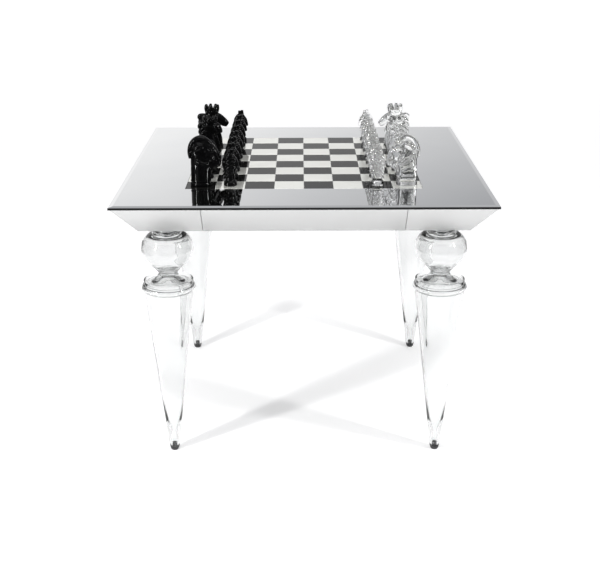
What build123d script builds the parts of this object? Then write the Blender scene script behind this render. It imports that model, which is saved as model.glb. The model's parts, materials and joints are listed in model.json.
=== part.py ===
from build123d import *
import os
from math import atan2, cos, degrees, radians, tan

# A square games table with a mirrored top, an inlaid chessboard, tapered legs of
# blown glass, one shallow drawer in the apron and a full set of glass pieces, all
# of them horse heads.  Millimetres.  Origin on the floor under the table's centre,
# +Z up, the drawer on the -Y side, black pieces on the -X side.

# ---------------------------------------------------------------- driving sizes
table_side = 1000.0
table_height = 750.0

glass_top_thickness = 8.0
bevel_width = 12.0
bevel_drop = 2.0

square_side = 80.0
squares_per_side = 8
tile_joint = 0.4
tile_thickness = 4.0
inlay_clearance = 0.3

apron_drop = 83.5  # from the playing surface down to the apron's lower edge
apron_inset = 65.0  # how far the lower edge stands in from the table's edge
apron_lip = 3.0
apron_board = 14.0
panel_gap = 0.5
sub_top_thickness = 8.0
base_panel_thickness = 8.0

drawer_opening = 530.0
drawer_seam = 1.0
drawer_head_gap = 1.0
drawer_wall = 10.0
drawer_floor = 4.0
drawer_floor_gap = 2.0
drawer_top_gap = 4.0
drawer_rear_y = -60.0
liner_thickness = 1.5
liner_gap = 0.5

runner_width = 8.0
runner_height = 16.0
runner_clearance = 1.0
runner_rise = 22.0  # from the drawer's underside up to the runner's
guide_sheet = 2.0
guide_side_gap = 3.0
guide_end_gap = 6.0

leg_spread = 368.0  # leg axis from the table's centre, along X and along Y
block_side = 84.0
stud_radius = 6.0
stud_clearance = 0.5
stud_engagement = 45.0
flange_radius = 37.0
flange_thickness = 5.0
spigot_length = 28.0
spigot_clearance = 0.3
collar_radius = 36.0
collar_height = 14.0
bulb_radius = 70.0
bulb_drop = 55.5  # from the collar's top down to the bulb's widest ring
neck_radius = 26.0
neck_drop = 130.5
shoulder_radius = 73.0
shoulder_drop = 163.5
cone_radius = 65.0
cone_drop = 184.5
tip_radius = 14.0
tip_height = 12.0
glass_wall = 5.0
neck_plug = 18.0
foot_radius = 13.0
foot_flat_radius = 10.0
tip_bore_radius = 7.0

piece_thickness = 45.0  # across a major piece, so that it can lie down in the drawer
base_half = 29.0
base_height = 14.0
pawn_foot_radius = 18.5
pawn_foot_height = 14.0
pawn_waist_radius = 12.0
pawn_waist_height = 24.0
pawn_thickness = 26.0
rook_height = 140.0
knight_height = 104.0
bishop_height = 96.0
queen_height = 132.0
king_height = 144.0
pawn_height = 90.0
ear_length = 13.0
crown_length = 22.0
coronet_length = 14.0

# ---------------------------------------------------------------- worked out
board_side = square_side * squares_per_side
apron_top = table_height - glass_top_thickness
apron_bottom = table_height - apron_drop
apron_half_top = table_side / 2 - apron_lip
apron_half_bottom = table_side / 2 - apron_inset
apron_slope = degrees(atan2(apron_half_top - apron_half_bottom, apron_top - apron_bottom))
apron_board_level = apron_board / cos(radians(apron_slope))

sub_top_bottom = apron_top - sub_top_thickness
base_panel_top = apron_bottom + base_panel_thickness
drawer_bottom = base_panel_top + drawer_floor_gap
drawer_top = sub_top_bottom - drawer_top_gap
drawer_floor_top = drawer_bottom + drawer_floor
liner_top = drawer_floor_top + liner_thickness
guide_half = drawer_opening / 2 - drawer_seam
drawer_half = guide_half - guide_sheet - guide_side_gap - runner_width
runner_bottom = drawer_bottom + runner_rise
runner_top = runner_bottom + runner_height
collar_top = apron_bottom - flange_thickness
bulb_height = collar_top - bulb_drop
neck_height = collar_top - neck_drop
shoulder_height = collar_top - shoulder_drop
cone_height = collar_top - cone_drop
spigot_radius = collar_radius - glass_wall - spigot_clearance

os.makedirs("parts", exist_ok=True)


def apron_outer(z):
    """Half width of the apron's outer face at height z."""
    return apron_half_bottom + (z - apron_bottom) * tan(radians(apron_slope))


def apron_inner(z):
    """Half width of the apron's inner face at height z."""
    return apron_outer(z) - apron_board_level


def save(part, name):
    """Label a finished piece and write it under its own name."""
    part.label = name
    export_step(part, f"parts/{name}.step")


guide_front_y = -(apron_inner(base_panel_top) - guide_end_gap)
guide_length = drawer_rear_y - guide_front_y

# ---------------------------------------------------------------- top
with BuildPart() as top_mirror:
    with BuildSketch(Plane.XY.offset(apron_top)):
        Rectangle(table_side, table_side)
    extrude(amount=glass_top_thickness - bevel_drop)
    with BuildSketch(Plane.XY.offset(table_height - bevel_drop)):
        Rectangle(table_side, table_side)
    with BuildSketch(Plane.XY.offset(table_height)):
        Rectangle(table_side - 2 * bevel_width, table_side - 2 * bevel_width)
    loft()
    with BuildSketch(Plane.XY.offset(table_height)):
        Rectangle(board_side + 2 * inlay_clearance, board_side + 2 * inlay_clearance)
    extrude(amount=-tile_thickness, mode=Mode.SUBTRACT)
save(top_mirror.part, "top_mirror")


def square_centre(column, row):
    """Centre of a board square; column 0 is at -X and row 0 at -Y."""
    middle = (squares_per_side - 1) / 2
    return (column - middle) * square_side, (row - middle) * square_side


def build_squares(colour):
    """The tiles of one colour: 0 is dark, with a dark square at the front left."""
    with BuildPart() as tiles:
        centres = [
            square_centre(column, row)
            for column in range(squares_per_side)
            for row in range(squares_per_side)
            if (column + row) % 2 == colour
        ]
        with BuildSketch(Plane.XY.offset(table_height - tile_thickness)):
            with Locations(*centres):
                Rectangle(square_side - tile_joint, square_side - tile_joint)
        extrude(amount=tile_thickness)
    return tiles.part


save(build_squares(0), "dark_squares")
save(build_squares(1), "light_squares")


# ---------------------------------------------------------------- carcase
def build_apron_side(angle):
    """One sloping, mitred board of the apron, whose outer face looks along angle."""
    with BuildPart() as board:
        with BuildSketch(Plane.XY.offset(apron_bottom)):
            Rectangle(2 * apron_half_bottom, 2 * apron_half_bottom)
        extrude(amount=apron_top - apron_bottom, taper=-apron_slope)
        inner_side = 2 * apron_inner(apron_bottom)
        with BuildSketch(Plane.XY.offset(apron_bottom)):
            Rectangle(inner_side, inner_side)
        extrude(amount=apron_top - apron_bottom, taper=-apron_slope, mode=Mode.SUBTRACT)
        for mitre in (angle - 45, angle + 45):
            across = Vector(1, 0, 0).rotate(Axis.Z, mitre)
            split(bisect_by=Plane(origin=(0, 0, 0), z_dir=across), keep=Keep.TOP)
    return board.part


def build_apron_end(side):
    """The fixed piece of the front apron beside the drawer; side is -1 or 1."""
    with BuildPart() as end:
        add(build_apron_side(-90))
        edge = Plane(origin=(side * drawer_opening / 2, 0, 0), z_dir=(side, 0, 0))
        split(bisect_by=edge, keep=Keep.TOP)
    return end.part


with BuildPart() as sub_top:
    with BuildSketch(Plane.XY.offset(sub_top_bottom)):
        sub_top_side = 2 * (apron_inner(sub_top_bottom) - panel_gap)
        Rectangle(sub_top_side, sub_top_side)
    extrude(amount=sub_top_thickness)
save(sub_top.part, "sub_top")

with BuildPart() as base_panel:
    with BuildSketch(Plane.XY.offset(apron_bottom)):
        base_panel_side = 2 * (apron_inner(apron_bottom) - panel_gap)
        Rectangle(base_panel_side, base_panel_side)
        with GridLocations(2 * leg_spread, 2 * leg_spread, 2, 2):
            Circle(stud_radius + stud_clearance, mode=Mode.SUBTRACT)
    extrude(amount=base_panel_thickness)
save(base_panel.part, "base_panel")

with BuildPart() as leg_blocks:
    with BuildSketch(Plane.XY.offset(base_panel_top)):
        with GridLocations(2 * leg_spread, 2 * leg_spread, 2, 2):
            Rectangle(block_side, block_side)
            Circle(stud_radius + stud_clearance, mode=Mode.SUBTRACT)
    extrude(amount=sub_top_bottom - base_panel_top)
save(leg_blocks.part, "leg_blocks")

save(build_apron_side(0), "apron_right")
save(build_apron_side(90), "apron_back")
save(build_apron_side(180), "apron_left")
save(build_apron_end(-1), "apron_front_left")
save(build_apron_end(1), "apron_front_right")

# ---------------------------------------------------------------- drawer
with BuildPart() as drawer_front:
    with BuildSketch(Plane.YZ):
        head_z = apron_top - drawer_head_gap
        Polygon(
            (-apron_outer(apron_bottom), apron_bottom),
            (-apron_outer(head_z), head_z),
            (-apron_inner(head_z), head_z),
            (-apron_inner(apron_bottom), apron_bottom),
            align=None,
        )
    extrude(amount=drawer_opening / 2 - drawer_seam, both=True)
save(drawer_front.part, "drawer_front")

with BuildPart() as drawer_sides:
    for side in (-1, 1):
        with BuildSketch(Plane.YZ.offset(side * (drawer_half - drawer_wall / 2))):
            Polygon(
                (-apron_inner(drawer_bottom), drawer_bottom),
                (-apron_inner(drawer_top), drawer_top),
                (drawer_rear_y, drawer_top),
                (drawer_rear_y, drawer_bottom),
                align=None,
            )
    extrude(amount=drawer_wall / 2, both=True)
save(drawer_sides.part, "drawer_sides")

with BuildPart() as drawer_back:
    with BuildSketch(Plane.XZ.offset(-drawer_rear_y)):
        with Locations((0, (drawer_bottom + drawer_top) / 2)):
            Rectangle(2 * (drawer_half - drawer_wall), drawer_top - drawer_bottom)
    extrude(amount=drawer_wall)
save(drawer_back.part, "drawer_back")


def build_drawer_sheet(low, high, side_gap):
    """A level sheet inside the drawer, whose front edge follows the sloping front."""
    with BuildPart() as sheet:
        with BuildSketch(Plane.YZ):
            Polygon(
                (-apron_inner(low) + side_gap, low),
                (-apron_inner(high) + side_gap, high),
                (drawer_rear_y - drawer_wall - side_gap, high),
                (drawer_rear_y - drawer_wall - side_gap, low),
                align=None,
            )
        extrude(amount=drawer_half - drawer_wall - side_gap, both=True)
    return sheet.part


save(build_drawer_sheet(drawer_bottom, drawer_floor_top, 0), "drawer_bottom")
save(build_drawer_sheet(drawer_floor_top, liner_top, liner_gap), "drawer_liner")

with BuildPart() as drawer_runners:
    with BuildSketch(Plane.XZ.offset(-drawer_rear_y)):
        for side in (-1, 1):
            with Locations((side * (drawer_half + runner_width / 2), (runner_bottom + runner_top) / 2)):
                Rectangle(runner_width, runner_height)
    extrude(amount=guide_length)
save(drawer_runners.part, "drawer_runners")

with BuildPart() as drawer_guides:
    with BuildSketch(Plane.XZ.offset(-drawer_rear_y)):
        for side in (-1, 1):
            shelf_low = runner_bottom - runner_clearance - guide_sheet
            shelf_high = runner_top + runner_clearance
            web_x = side * (guide_half - guide_sheet / 2)
            web_height = shelf_high + guide_sheet - base_panel_top
            with Locations((web_x, base_panel_top + web_height / 2)):
                Rectangle(guide_sheet, web_height)
            shelf_width = guide_half - drawer_half - runner_clearance
            shelf_x = side * (guide_half - shelf_width / 2)
            for shelf_z in (base_panel_top, shelf_low, shelf_high):
                with Locations((shelf_x, shelf_z + guide_sheet / 2)):
                    Rectangle(shelf_width, guide_sheet)
    extrude(amount=guide_length)
save(drawer_guides.part, "drawer_guides")

# ---------------------------------------------------------------- legs
leg_places = {
    "front_left": (-leg_spread, -leg_spread),
    "front_right": (leg_spread, -leg_spread),
    "back_left": (-leg_spread, leg_spread),
    "back_right": (leg_spread, leg_spread),
}

with BuildPart() as leg_mount:
    with BuildSketch(Plane.XZ):
        Polygon(
            (0, collar_top - spigot_length),
            (spigot_radius, collar_top - spigot_length),
            (spigot_radius, collar_top),
            (flange_radius, collar_top),
            (flange_radius, apron_bottom),
            (stud_radius, apron_bottom),
            (stud_radius, apron_bottom + stud_engagement),
            (0, apron_bottom + stud_engagement),
            align=None,
        )
    revolve(axis=Axis.Z)

with BuildPart() as leg_foot:
    with BuildSketch(Plane.XZ):
        with BuildLine():
            Line((0, 0), (foot_flat_radius, 0))
            RadiusArc((foot_flat_radius, 0), (foot_radius, tip_height / 2), -foot_radius / 2)
            Line((foot_radius, tip_height / 2), (foot_radius, tip_height))
            Line((foot_radius, tip_height), (tip_bore_radius, tip_height))
            Line((tip_bore_radius, tip_height), (tip_bore_radius, 2 * tip_height))
            Line((tip_bore_radius, 2 * tip_height), (0, 2 * tip_height))
            Line((0, 2 * tip_height), (0, 0))
        make_face()
    revolve(axis=Axis.Z)


def bulb_profile(radius, collar, neck, floor):
    """The half profile of the blown bulb, from its floor up to the open collar."""
    with BuildLine() as outline:
        Line((0, floor), (neck, floor))
        Spline(
            (neck, floor),
            (0.8 * radius, bulb_height - 0.45 * bulb_radius),
            (radius, bulb_height),
            (0.82 * radius, bulb_height + 0.43 * bulb_radius),
            (collar, collar_top - collar_height),
            tangents=((1, 1.2), (-1, 0.5)),
        )
        Line((collar, collar_top - collar_height), (collar, collar_top))
        Line((collar, collar_top), (0, collar_top))
        Line((0, collar_top), (0, floor))
    return outline.line


with BuildPart() as leg_bulb:
    with BuildSketch(Plane.XZ):
        with BuildLine():
            add(bulb_profile(bulb_radius, collar_radius, neck_radius, neck_height))
        make_face()
    revolve(axis=Axis.Z)
    with BuildSketch(Plane.XZ):
        with BuildLine():
            add(
                bulb_profile(
                    bulb_radius - glass_wall,
                    collar_radius - glass_wall,
                    neck_radius,
                    neck_height + neck_plug,
                )
            )
        make_face()
    revolve(axis=Axis.Z, mode=Mode.SUBTRACT)

with BuildPart() as leg_cone:
    with BuildSketch(Plane.XZ):
        with BuildLine():
            Line((0, neck_height), (neck_radius, neck_height))
            Spline(
                (neck_radius, neck_height),
                (0.6 * shoulder_radius, shoulder_height + 16),
                (0.9 * shoulder_radius, shoulder_height + 9),
                (shoulder_radius, shoulder_height),
                (cone_radius, cone_height),
                tangents=((0.4, -1), (-0.2, -1)),
            )
            Line((cone_radius, cone_height), (tip_radius, tip_height))
            Line((tip_radius, tip_height), (0, tip_height))
            Line((0, tip_height), (0, neck_height))
        make_face()
    revolve(axis=Axis.Z)
    with BuildSketch(Plane.XZ):
        with BuildLine():
            Polyline(
                (0, shoulder_height),
                (0.72 * shoulder_radius, shoulder_height),
                (cone_radius - glass_wall, cone_height),
                (tip_bore_radius, 5 * tip_height),
                (tip_bore_radius, tip_height),
                (0, tip_height),
                (0, shoulder_height),
            )
        make_face()
    revolve(axis=Axis.Z, mode=Mode.SUBTRACT)

for place, (x, y) in leg_places.items():
    save(leg_bulb.part.moved(Location((x, y, 0))), f"leg_bulb_{place}")
    save(leg_cone.part.moved(Location((x, y, 0))), f"leg_cone_{place}")

leg_corners = [Location((x, y, 0)) for x, y in leg_places.values()]
save(Compound(children=[leg_mount.part.moved(corner) for corner in leg_corners]), "leg_mounts")
save(Compound(children=[leg_foot.part.moved(corner) for corner in leg_corners]), "leg_feet")


# ---------------------------------------------------------------- chess pieces
# Each piece is made at the origin, facing +X, standing on Z = 0.
def build_horse(height, mane, brow, reach, nose, muzzle, throat, ears=0.0, crown=0.0):
    """A major piece: a horse's head on a stout neck and an oval glass base.

    height is the poll, mane the crest behind the axis, brow the forehead ahead of
    it, reach the muzzle's tip, nose the tip's height, muzzle its depth and throat the
    point where the jaw meets the neck; ears and crown are lengths, for those that
    stand up from the poll.
    """
    neck = base_half - 3
    brow_z = height - 0.12 * height
    mane_z = (nose + height) / 2
    with BuildPart() as horse:
        with BuildSketch(Plane.XZ):
            with BuildLine():
                Line((-neck, base_height / 2), (-neck, nose))
                ThreePointArc((-neck, nose), (-mane, mane_z), (-0.4 * mane, height - 2))
                ThreePointArc((-0.4 * mane, height - 2), (0.3 * brow, height), (brow, brow_z))
                Line((brow, brow_z), (reach - 2, nose + muzzle / 2))
                ThreePointArc((reach - 2, nose + muzzle / 2), (reach, nose), (reach - 6, nose - muzzle / 2))
                Line((reach - 6, nose - muzzle / 2), (throat, nose - muzzle / 3))
                Line((throat, nose - muzzle / 3), (neck, base_height))
                Line((neck, base_height), (neck, base_height / 2))
                Line((neck, base_height / 2), (-neck, base_height / 2))
            make_face()
        extrude(amount=piece_thickness / 2, both=True)
        with BuildSketch(Plane.YZ):
            half = piece_thickness / 2 - 1.5
            Polygon(
                (-half, 0),
                (half, 0),
                (half, 0.5 * height),
                (0.72 * half, 0.85 * height),
                (0.45 * half, height + 1),
                (-0.45 * half, height + 1),
                (-0.72 * half, 0.85 * height),
                (-half, 0.5 * height),
                align=None,
            )
        extrude(amount=3 * base_half, both=True, mode=Mode.INTERSECT)
        with BuildSketch(Plane.XY):
            Ellipse(base_half, piece_thickness / 2)
        extrude(amount=base_height)
        if crown:
            add_crown(height, 0.2 * brow, crown)
        if ears:
            add_ears(-0.15 * mane, height - ears / 2, ears)
    return horse.part


def add_ears(x, z, length):
    """Two short ears, one each side of the poll, on the part being built."""
    with Locations((x, -0.2 * base_half, z), (x, 0.2 * base_half, z)):
        Cone(4, 1, length, align=(Align.CENTER, Align.CENTER, Align.MIN))


def add_crown(height, x, length):
    """A flared ring with a row of spikes, on the part being built."""
    ring = 0.55 * base_half
    with Locations((x, 0, height - 8)):
        Cone(0.75 * ring, 1.2 * ring, 14, align=(Align.CENTER, Align.CENTER, Align.MIN))
    with Locations((x, 0, height + 4)):
        with PolarLocations(ring, 6):
            Cone(4.5, 1, length - 2, align=(Align.CENTER, Align.CENTER, Align.MIN))


def build_pawn():
    """A pawn: a small horse's head with two ears on a waisted round foot."""
    with BuildPart() as pawn:
        with BuildSketch(Plane.XZ):
            with BuildLine():
                back = 0.95 * pawn_waist_radius
                Line((-back, pawn_foot_height), (-back, pawn_waist_height))
                ThreePointArc((-back, pawn_waist_height), (-20, 56), (-6, pawn_height))
                ThreePointArc((-6, pawn_height), (6, pawn_height), (14, pawn_height - 10))
                Line((14, pawn_height - 10), (24, 54))
                ThreePointArc((24, 54), (24, 45), (17, 42))
                Line((17, 42), (back, 48))
                Line((back, 48), (back, pawn_foot_height))
                Line((back, pawn_foot_height), (-back, pawn_foot_height))
            make_face()
        extrude(amount=pawn_thickness / 2, both=True)
        with BuildSketch(Plane.YZ):
            half = pawn_thickness / 2
            Polygon(
                (-half, 0),
                (half, 0),
                (half, 0.75 * pawn_height),
                (0.5 * half, pawn_height + 1),
                (-0.5 * half, pawn_height + 1),
                (-half, 0.75 * pawn_height),
                align=None,
            )
        extrude(amount=2 * base_half, both=True, mode=Mode.INTERSECT)
        with BuildSketch(Plane.XZ):
            Polygon(
                (0, 0),
                (pawn_foot_radius, 0),
                (pawn_foot_radius, 0.6 * pawn_foot_height),
                (pawn_waist_radius, pawn_waist_height),
                (0, pawn_waist_height),
                align=None,
            )
        revolve(axis=Axis.Z)
        with Locations((2, -4, pawn_height - 5), (2, 4, pawn_height - 5)):
            Cone(3, 1, ear_length, align=(Align.CENTER, Align.CENTER, Align.MIN))
    return pawn.part


rook = build_horse(rook_height, 33, 30, 57, 64, 32, 26)
knight = build_horse(knight_height, 28, 24, 40, 76, 18, 26, ears=ear_length)
bishop = build_horse(bishop_height, 28, 22, 33, 60, 18, 26, ears=ear_length)
queen = build_horse(queen_height, 26, 26, 42, 98, 16, 27, crown=coronet_length)
king = build_horse(king_height, 34, 33, 58, 108, 14, 32, crown=crown_length)
pawn = build_pawn()

# A complete back row from the front of the table to the back, less the far rook.
back_row = {
    "rook_front": (rook, 0),
    "knight_front": (knight, 1),
    "bishop_front": (bishop, 2),
    "queen": (queen, 3),
    "king": (king, 4),
    "bishop_back": (bishop, 5),
    "knight_back": (knight, 6),
}
sides = {"black": (0, 1, 0), "clear": (squares_per_side - 1, -1, 180)}

for colour, (back_column, forward, turn) in sides.items():
    for name, (shape, row) in back_row.items():
        x, y = square_centre(back_column, row)
        save(shape.moved(Location((x, y, table_height), (0, 0, turn))), f"{colour}_{name}")
    for row in range(squares_per_side):
        x, y = square_centre(back_column + forward, row)
        name = f"{colour}_pawn_{row + 1}"
        save(pawn.moved(Location((x, y, table_height), (0, 0, turn))), name)

# The second rook of each colour lies on its side at the back of the drawer.
rest_z = liner_top + piece_thickness / 2
rest_y = drawer_rear_y - drawer_wall - base_half * 2.3
for colour, start_x in (("black", -220.0), ("clear", 20.0)):
    lying = Plane(origin=(start_x, rest_y, rest_z), x_dir=(0, 1, 0), z_dir=(1, 0, 0))
    save(rook.moved(lying.location), f"{colour}_rook_back")
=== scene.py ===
# %% [markdown]
# # A mirrored chess table on glass legs
# The table is a square of silvered glass with a chessboard let into it. Under it hang a
# sloping apron of satin mirror with one drawer, and four legs of blown glass. The pieces are
# glass too, and every one is a horse's head. The CAD model already fixes where all of it
# stands and how it moves, so this lesson only adds the looks, part by part.

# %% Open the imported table
import json
import math

import bmesh
import bpy
import numpy as np
from mathutils import Matrix, Vector

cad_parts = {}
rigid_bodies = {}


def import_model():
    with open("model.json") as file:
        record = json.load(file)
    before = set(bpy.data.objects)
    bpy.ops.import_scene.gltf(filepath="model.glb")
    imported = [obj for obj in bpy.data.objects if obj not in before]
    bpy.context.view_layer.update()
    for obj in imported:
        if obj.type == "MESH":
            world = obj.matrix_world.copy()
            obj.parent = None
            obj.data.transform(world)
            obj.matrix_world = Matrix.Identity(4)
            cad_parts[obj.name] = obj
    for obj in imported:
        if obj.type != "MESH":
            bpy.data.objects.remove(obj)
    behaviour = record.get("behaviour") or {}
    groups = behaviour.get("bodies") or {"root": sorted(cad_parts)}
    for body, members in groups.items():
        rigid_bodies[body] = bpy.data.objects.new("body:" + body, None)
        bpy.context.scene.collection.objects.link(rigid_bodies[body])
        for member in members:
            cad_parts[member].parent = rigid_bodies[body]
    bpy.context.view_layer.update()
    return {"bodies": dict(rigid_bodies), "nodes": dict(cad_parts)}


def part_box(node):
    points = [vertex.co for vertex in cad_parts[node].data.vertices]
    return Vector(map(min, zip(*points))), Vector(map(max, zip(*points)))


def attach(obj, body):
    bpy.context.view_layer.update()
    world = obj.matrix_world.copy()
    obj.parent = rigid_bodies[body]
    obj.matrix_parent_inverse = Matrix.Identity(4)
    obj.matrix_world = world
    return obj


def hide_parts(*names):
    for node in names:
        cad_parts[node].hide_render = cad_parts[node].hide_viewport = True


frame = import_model()
MM = 0.001

# %% [markdown]
# The table top is one metre square, so its own size is a handy ruler for the studio.
# The camera stands a little over three table widths in front and looks slightly down.
# A small downward shift of the lens does part of the tilt's work, so that the upright
# legs keep nearly all of their upright look.

# %% Set the camera
top_low, top_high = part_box("top_mirror")
side = top_high.x - top_low.x
board_z = top_high.z

camera_data = bpy.data.cameras.new("camera")
camera_data.sensor_width = 36.0
camera_data.lens = 66.77
camera_data.shift_y = -0.1145
camera_data.clip_end = 100.0
camera = bpy.data.objects.new("camera", camera_data)
bpy.context.scene.collection.objects.link(camera)
look_down = math.radians(16.5)
levelling = math.radians(0.19)
camera_aside, camera_back, camera_up = -0.008, -3.216, 2.029
camera.location = (camera_aside * side, camera_back * side, camera_up * board_z)
camera.rotation_euler = (math.pi / 2 - look_down, levelling, 0.0)
bpy.context.scene.camera = camera
bpy.context.scene.view_settings.view_transform = "Standard"
print("camera at", tuple(round(v, 3) for v in camera.location))

# %% [markdown]
# Shader maths reads best as plain arithmetic. This small class wraps one socket and
# turns +, -, * and / into Math nodes.

# %% A small kit for shader maths
class Value:
    """A number that comes out of a socket, and that can be used in sums."""

    def __init__(self, kit, socket):
        self.kit = kit
        self.socket = socket

    def sum_with(self, operation, first, second):
        return self.kit.node("ShaderNodeMath", {"operation": operation}, {0: first, 1: second})

    def __add__(self, other):
        return self.sum_with("ADD", self, other)

    def __radd__(self, other):
        return self.sum_with("ADD", other, self)

    def __sub__(self, other):
        return self.sum_with("SUBTRACT", self, other)

    def __rsub__(self, other):
        return self.sum_with("SUBTRACT", other, self)

    def __mul__(self, other):
        return self.sum_with("MULTIPLY", self, other)

    def __rmul__(self, other):
        return self.sum_with("MULTIPLY", other, self)

    def __truediv__(self, other):
        return self.sum_with("DIVIDE", self, other)


class Kit:
    """One node tree, and the way to add nodes to it."""

    def __init__(self, tree):
        self.tree = tree

    def node(self, kind, settings=None, inputs=None, output=0):
        made = self.tree.nodes.new(kind)
        for name, value in (settings or {}).items():
            if name == "stops":
                self.set_stops(made, value)
            else:
                setattr(made, name, value)
        for key, value in (inputs or {}).items():
            self.feed(made.inputs[key], value)
        return Value(self, made.outputs[output])

    def feed(self, socket, value):
        if isinstance(value, Value):
            self.tree.links.new(value.socket, socket)
        else:
            socket.default_value = value

    def set_stops(self, ramp_node, stops):
        ramp = ramp_node.color_ramp
        while len(ramp.elements) < len(stops):
            ramp.elements.new(0.5)
        for element, (place, colour) in zip(ramp.elements, stops):
            element.position = place
            element.color = (*colour, 1.0)

    def noise(self, scale, detail=2.0, stretch=(1, 1, 1)):
        """Soft noise in object space, from 0 to 1, with scale features to the metre."""
        place = self.node("ShaderNodeTexCoord", output="Object")
        mapped = self.node("ShaderNodeMapping", None, {"Vector": place, "Scale": stretch})
        return self.node("ShaderNodeTexNoise", None, {"Vector": mapped, "Scale": scale, "Detail": detail})

    def tint(self, factor, dark, light):
        """A colour between two, by a factor from 0 to 1."""
        return self.node("ShaderNodeValToRGB", {"stops": [(0.0, dark), (1.0, light)]}, {0: factor})

    def bump(self, height, strength, distance):
        return self.node(
            "ShaderNodeBump", None, {"Height": height, "Strength": strength, "Distance": distance}
        )


def finish_named(name, paint):
    """A material whose look is painted by a function on its kit and its main shader."""
    material = bpy.data.materials.new(name)
    material.use_nodes = True
    tree = material.node_tree
    main = tree.nodes["Principled BSDF"]
    paint(Kit(tree), main)
    return material


print("shader kit ready")

# %% [markdown]
# The studio is a white floor and a soft sky. The floor also glows, as painted light: weakly
# near the table, so that its shadows show, and more strongly far off, so that it stays white.
# Glass has no colour of its own: it is drawn by what it bends and reflects. So the sky is
# white near the horizon, where the mirror looks, and greyer overhead, which gives clear glass
# its darker outlines. The right of the sky is darker than the left, as in a room with one
# big window, and the part behind the camera is darker still. Upright grey and black cards
# stand at the sides and in front. The camera never sees them, but glass and mirror do, and
# take their dark lines from them. Some show only through glass, and one shows only in
# reflections.

# %% Light the studio
def build_sky():
    world = bpy.data.worlds.new("studio_sky")
    bpy.context.scene.world = world
    world.use_nodes = True
    kit = Kit(world.node_tree)
    direction = kit.node("ShaderNodeTexCoord", output="Generated")
    parts = kit.tree.nodes.new("ShaderNodeSeparateXYZ")
    kit.feed(parts.inputs[0], direction)
    height = Value(kit, parts.outputs["Z"])
    across = Value(kit, parts.outputs["X"])
    darker_right = 0.42
    level = height + darker_right * across
    stops = [
        (0.0, (1.0, 1.0, 1.0)),
        (0.16, (0.97, 0.97, 0.97)),
        (0.34, (0.42, 0.425, 0.44)),
        (1.0, (0.62, 0.62, 0.63)),
    ]
    around = kit.node("ShaderNodeValToRGB", {"stops": stops}, {0: level})
    front = kit.tint(Value(kit, parts.outputs["Y"]) + 1.0, (0.3, 0.3, 0.31), (1, 1, 1))
    colour = kit.node("ShaderNodeVectorMath", {"operation": "MULTIPLY"}, {0: around, 1: front})
    background = world.node_tree.nodes["Background"]
    kit.feed(background.inputs["Color"], colour)
    background.inputs["Strength"].default_value = 1.0


def build_floor():
    half = 30.0
    mesh = bpy.data.meshes.new("floor")
    corners = [(-half, -half, 0), (half, -half, 0), (half, half, 0), (-half, half, 0)]
    mesh.from_pydata(corners, [], [(0, 1, 2, 3)])
    floor = bpy.data.objects.new("floor", mesh)
    bpy.context.scene.collection.objects.link(floor)

    def paint(kit, main):
        main.inputs["Base Color"].default_value = (0.9, 0.9, 0.9, 1)
        main.inputs["Roughness"].default_value = 0.6
        main.inputs["Specular IOR Level"].default_value = 0.1
        # Painted light: the floor glows, weakly within about a metre and a half of the table and more
        # strongly far from it, so the far floor stays white while the shadows near the table still show.
        place = kit.node("ShaderNodeTexCoord", output="Object")
        far = kit.node("ShaderNodeVectorMath", {"operation": "LENGTH"}, {0: place}, output="Value")
        glow_reach = 9.0
        dim_middle = 0.15
        glow = kit.tint(far / glow_reach - dim_middle, (0.3, 0.3, 0.3), (0.75, 0.75, 0.75))
        kit.feed(main.inputs["Emission Color"], glow)
        main.inputs["Emission Strength"].default_value = 1.0

    mesh.materials.append(finish_named("floor_white_painted_glow", paint))


def build_lamp(name, place, target, size, power):
    """A rectangular soft lamp that faces a point."""
    data = bpy.data.lights.new(name, "AREA")
    data.shape = "RECTANGLE"
    data.size, data.size_y = size
    data.energy = power
    lamp = bpy.data.objects.new(name, data)
    lamp.location = place
    lamp.rotation_euler = (Vector(target) - Vector(place)).to_track_quat("-Z", "Y").to_euler()
    bpy.context.scene.collection.objects.link(lamp)


def build_flag(name, start, end, heights, grey, seen_through=True, mirrored=True):
    """An upright soft-edged card, seen only through glass or in a reflection."""
    mesh = bpy.data.meshes.new(name)
    low, high = heights
    corners = [(*start, low), (*end, low), (*end, high), (*start, high)]
    mesh.from_pydata(corners, [], [(0, 1, 2, 3)])
    middle = tuple(sum(corner[axis] for corner in corners) / 4 for axis in range(3))
    half = math.dist(start, end) / 2
    card = bpy.data.objects.new(name, mesh)
    card.visible_transmission = seen_through
    card.visible_glossy = mirrored
    bpy.context.scene.collection.objects.link(card)
    card.visible_camera = False
    card.visible_diffuse = False
    card.visible_shadow = False

    def paint(kit, main):
        main.inputs["Base Color"].default_value = (0, 0, 0, 1)
        main.inputs["Specular IOR Level"].default_value = 0.0
        place = kit.node("ShaderNodeTexCoord", output="Object")
        away = {"operation": "DISTANCE"}
        out = kit.node("ShaderNodeVectorMath", away, {0: place, 1: middle}, output="Value")
        soft_from = 0.7
        stops = [(0.0, (grey,) * 3), (soft_from, (grey,) * 3), (1.0, (0.9, 0.9, 0.9))]
        glow = kit.node("ShaderNodeValToRGB", {"stops": stops}, {0: out / half})
        kit.feed(main.inputs["Emission Color"], glow)
        main.inputs["Emission Strength"].default_value = 1.0

    mesh.materials.append(finish_named(name, paint))


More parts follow.
